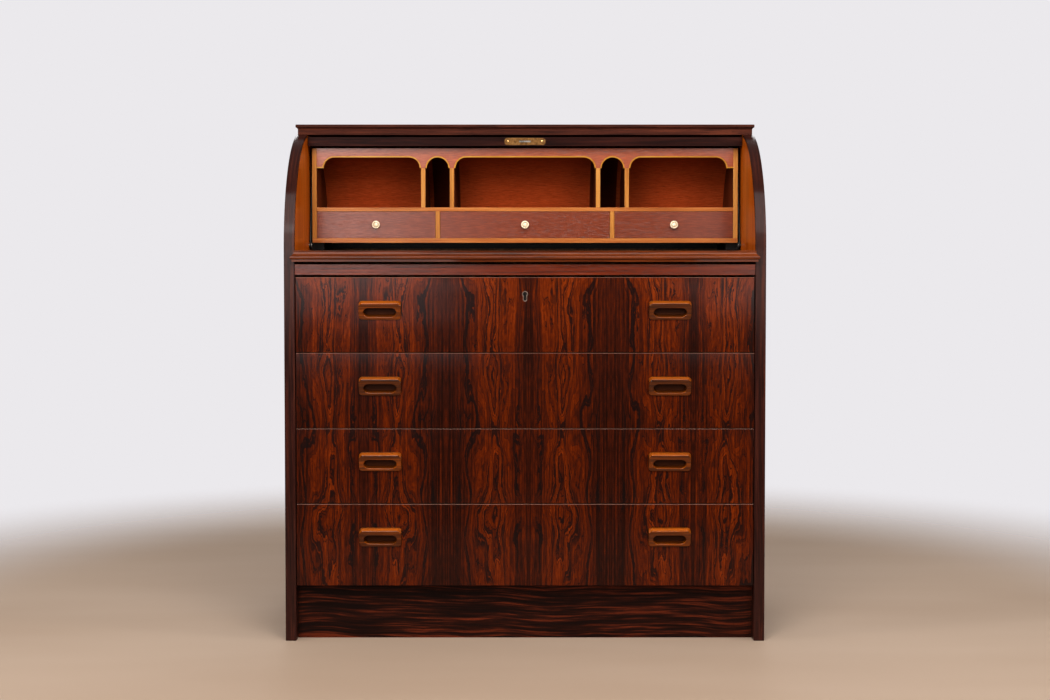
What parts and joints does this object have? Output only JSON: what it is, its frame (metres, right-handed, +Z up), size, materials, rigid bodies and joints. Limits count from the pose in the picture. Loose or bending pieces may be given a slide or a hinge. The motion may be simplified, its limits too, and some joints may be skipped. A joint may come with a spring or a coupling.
{
  "type": "cylinder desk",
  "caption": "Rosewood cylinder desk: chest of long drawers under a sliding writing board, with a pigeonhole unit behind a rigid quarter-round lid that turns back under the top.",
  "frame": {"origin": "on the floor, under the middle of the desk's overall box", "axes": "+Z up, +X to the right seen from the front, the front faces -Y"},
  "size_m": [0.985, 0.506, 1.069],
  "materials": {
    "rosewood": "glossy lacquered veneer",
    "solid_rosewood": "lacquered solid wood",
    "matched_veneer": "glossy book-matched veneer",
    "handle_wood": "polished solid wood",
    "unit_wood": "satin veneer",
    "pale_edging": "satin",
    "drawer_lining": "plain sanded wood",
    "runner_wood": "waxed wood",
    "plywood": "plain plywood",
    "ivory_knob": "polished",
    "aged_brass": "dulled by age",
    "steel": "plain"
  },
  "bodies": {
    "carcass": {"side_panel_left": "rosewood", "side_panel_right": "rosewood", "side_lipping_left": "solid_rosewood", "side_lipping_right": "solid_rosewood", "top_panel": "rosewood", "back_panel": "plywood", "back_screws": "steel", "bottom_panel": "plywood", "plinth": "rosewood", "front_rail": "rosewood", "drawer_runners": "runner_wood", "board_runners": "runner_wood", "unit_bearers": "runner_wood", "lid_stop_batten": "runner_wood", "lid_pivot_pins": "steel", "unit_bottom": "unit_wood", "unit_sides": "unit_wood", "unit_top": "unit_wood", "unit_back": "unit_wood", "unit_shelf": "unit_wood", "unit_dividers": "unit_wood", "unit_drawer_dividers": "unit_wood", "unit_valance": "unit_wood", "unit_valance_edging": "pale_edging"},
    "lid": {"lid_panel": "rosewood", "lid_rail": "solid_rosewood", "lid_arms": "steel", "lid_lock_case": "steel", "lid_lock_plate": "aged_brass", "lid_lock_screws": "aged_brass", "lid_escutcheon": "aged_brass"},
    "lid_bolt": {"lid_lock_bolt": "aged_brass"},
    "board": {"board_panel": "rosewood", "board_moulding": "solid_rosewood", "board_strike": "aged_brass"},
    "drawer_1": {"drawer_1_front": "matched_veneer", "drawer_1_box": "drawer_lining", "drawer_1_handles": "handle_wood", "drawer_lock_case": "steel", "drawer_lock_escutcheon": "steel"},
    "drawer_2": {"drawer_2_front": "matched_veneer", "drawer_2_box": "drawer_lining", "drawer_2_handles": "handle_wood"},
    "drawer_3": {"drawer_3_front": "matched_veneer", "drawer_3_box": "drawer_lining", "drawer_3_handles": "handle_wood"},
    "drawer_4": {"drawer_4_front": "matched_veneer", "drawer_4_box": "drawer_lining", "drawer_4_handles": "handle_wood"},
    "drawer_bolt": {"drawer_lock_bolt": "steel"},
    "small_drawer_left": {"small_drawer_left_front": "unit_wood", "small_drawer_left_box": "drawer_lining", "small_drawer_left_knob": "ivory_knob"},
    "small_drawer_centre": {"small_drawer_centre_front": "unit_wood", "small_drawer_centre_box": "drawer_lining", "small_drawer_centre_knob": "ivory_knob"},
    "small_drawer_right": {"small_drawer_right_front": "unit_wood", "small_drawer_right_box": "drawer_lining", "small_drawer_right_knob": "ivory_knob"}
  },
  "joints": [
    {"name": "lid", "type": "hinge", "parent": "carcass", "child": "lid", "pos_m": [0, 0.003, 0.81], "axis": [1, 0, 0], "range_deg": [0, 85.8]},
    {"name": "lid_bolt", "type": "slide", "parent": "lid", "child": "lid_bolt", "axis": [0, 0.9974, 0.0715], "range_m": [-0.012, 0]},
    {"name": "board", "type": "slide", "parent": "carcass", "child": "board", "axis": [0, -1, 0], "range_m": [0, 0.25]},
    {"name": "drawer_1", "type": "slide", "parent": "carcass", "child": "drawer_1", "axis": [0, -1, 0], "range_m": [0, 0.3]},
    {"name": "drawer_2", "type": "slide", "parent": "carcass", "child": "drawer_2", "axis": [0, -1, 0], "range_m": [0, 0.3]},
    {"name": "drawer_3", "type": "slide", "parent": "carcass", "child": "drawer_3", "axis": [0, -1, 0], "range_m": [0, 0.3]},
    {"name": "drawer_4", "type": "slide", "parent": "carcass", "child": "drawer_4", "axis": [0, -1, 0], "range_m": [0, 0.3]},
    {"name": "drawer_bolt", "type": "slide", "parent": "drawer_1", "child": "drawer_bolt", "axis": [0, 0, 1], "range_m": [0, 0.011]},
    {"name": "small_drawer_left", "type": "slide", "parent": "carcass", "child": "small_drawer_left", "axis": [0, -1, 0], "range_m": [0, 0.13]},
    {"name": "small_drawer_centre", "type": "slide", "parent": "carcass", "child": "small_drawer_centre", "axis": [0, -1, 0], "range_m": [0, 0.13]},
    {"name": "small_drawer_right", "type": "slide", "parent": "carcass", "child": "small_drawer_right", "axis": [0, -1, 0], "range_m": [0, 0.13]}
  ]
}
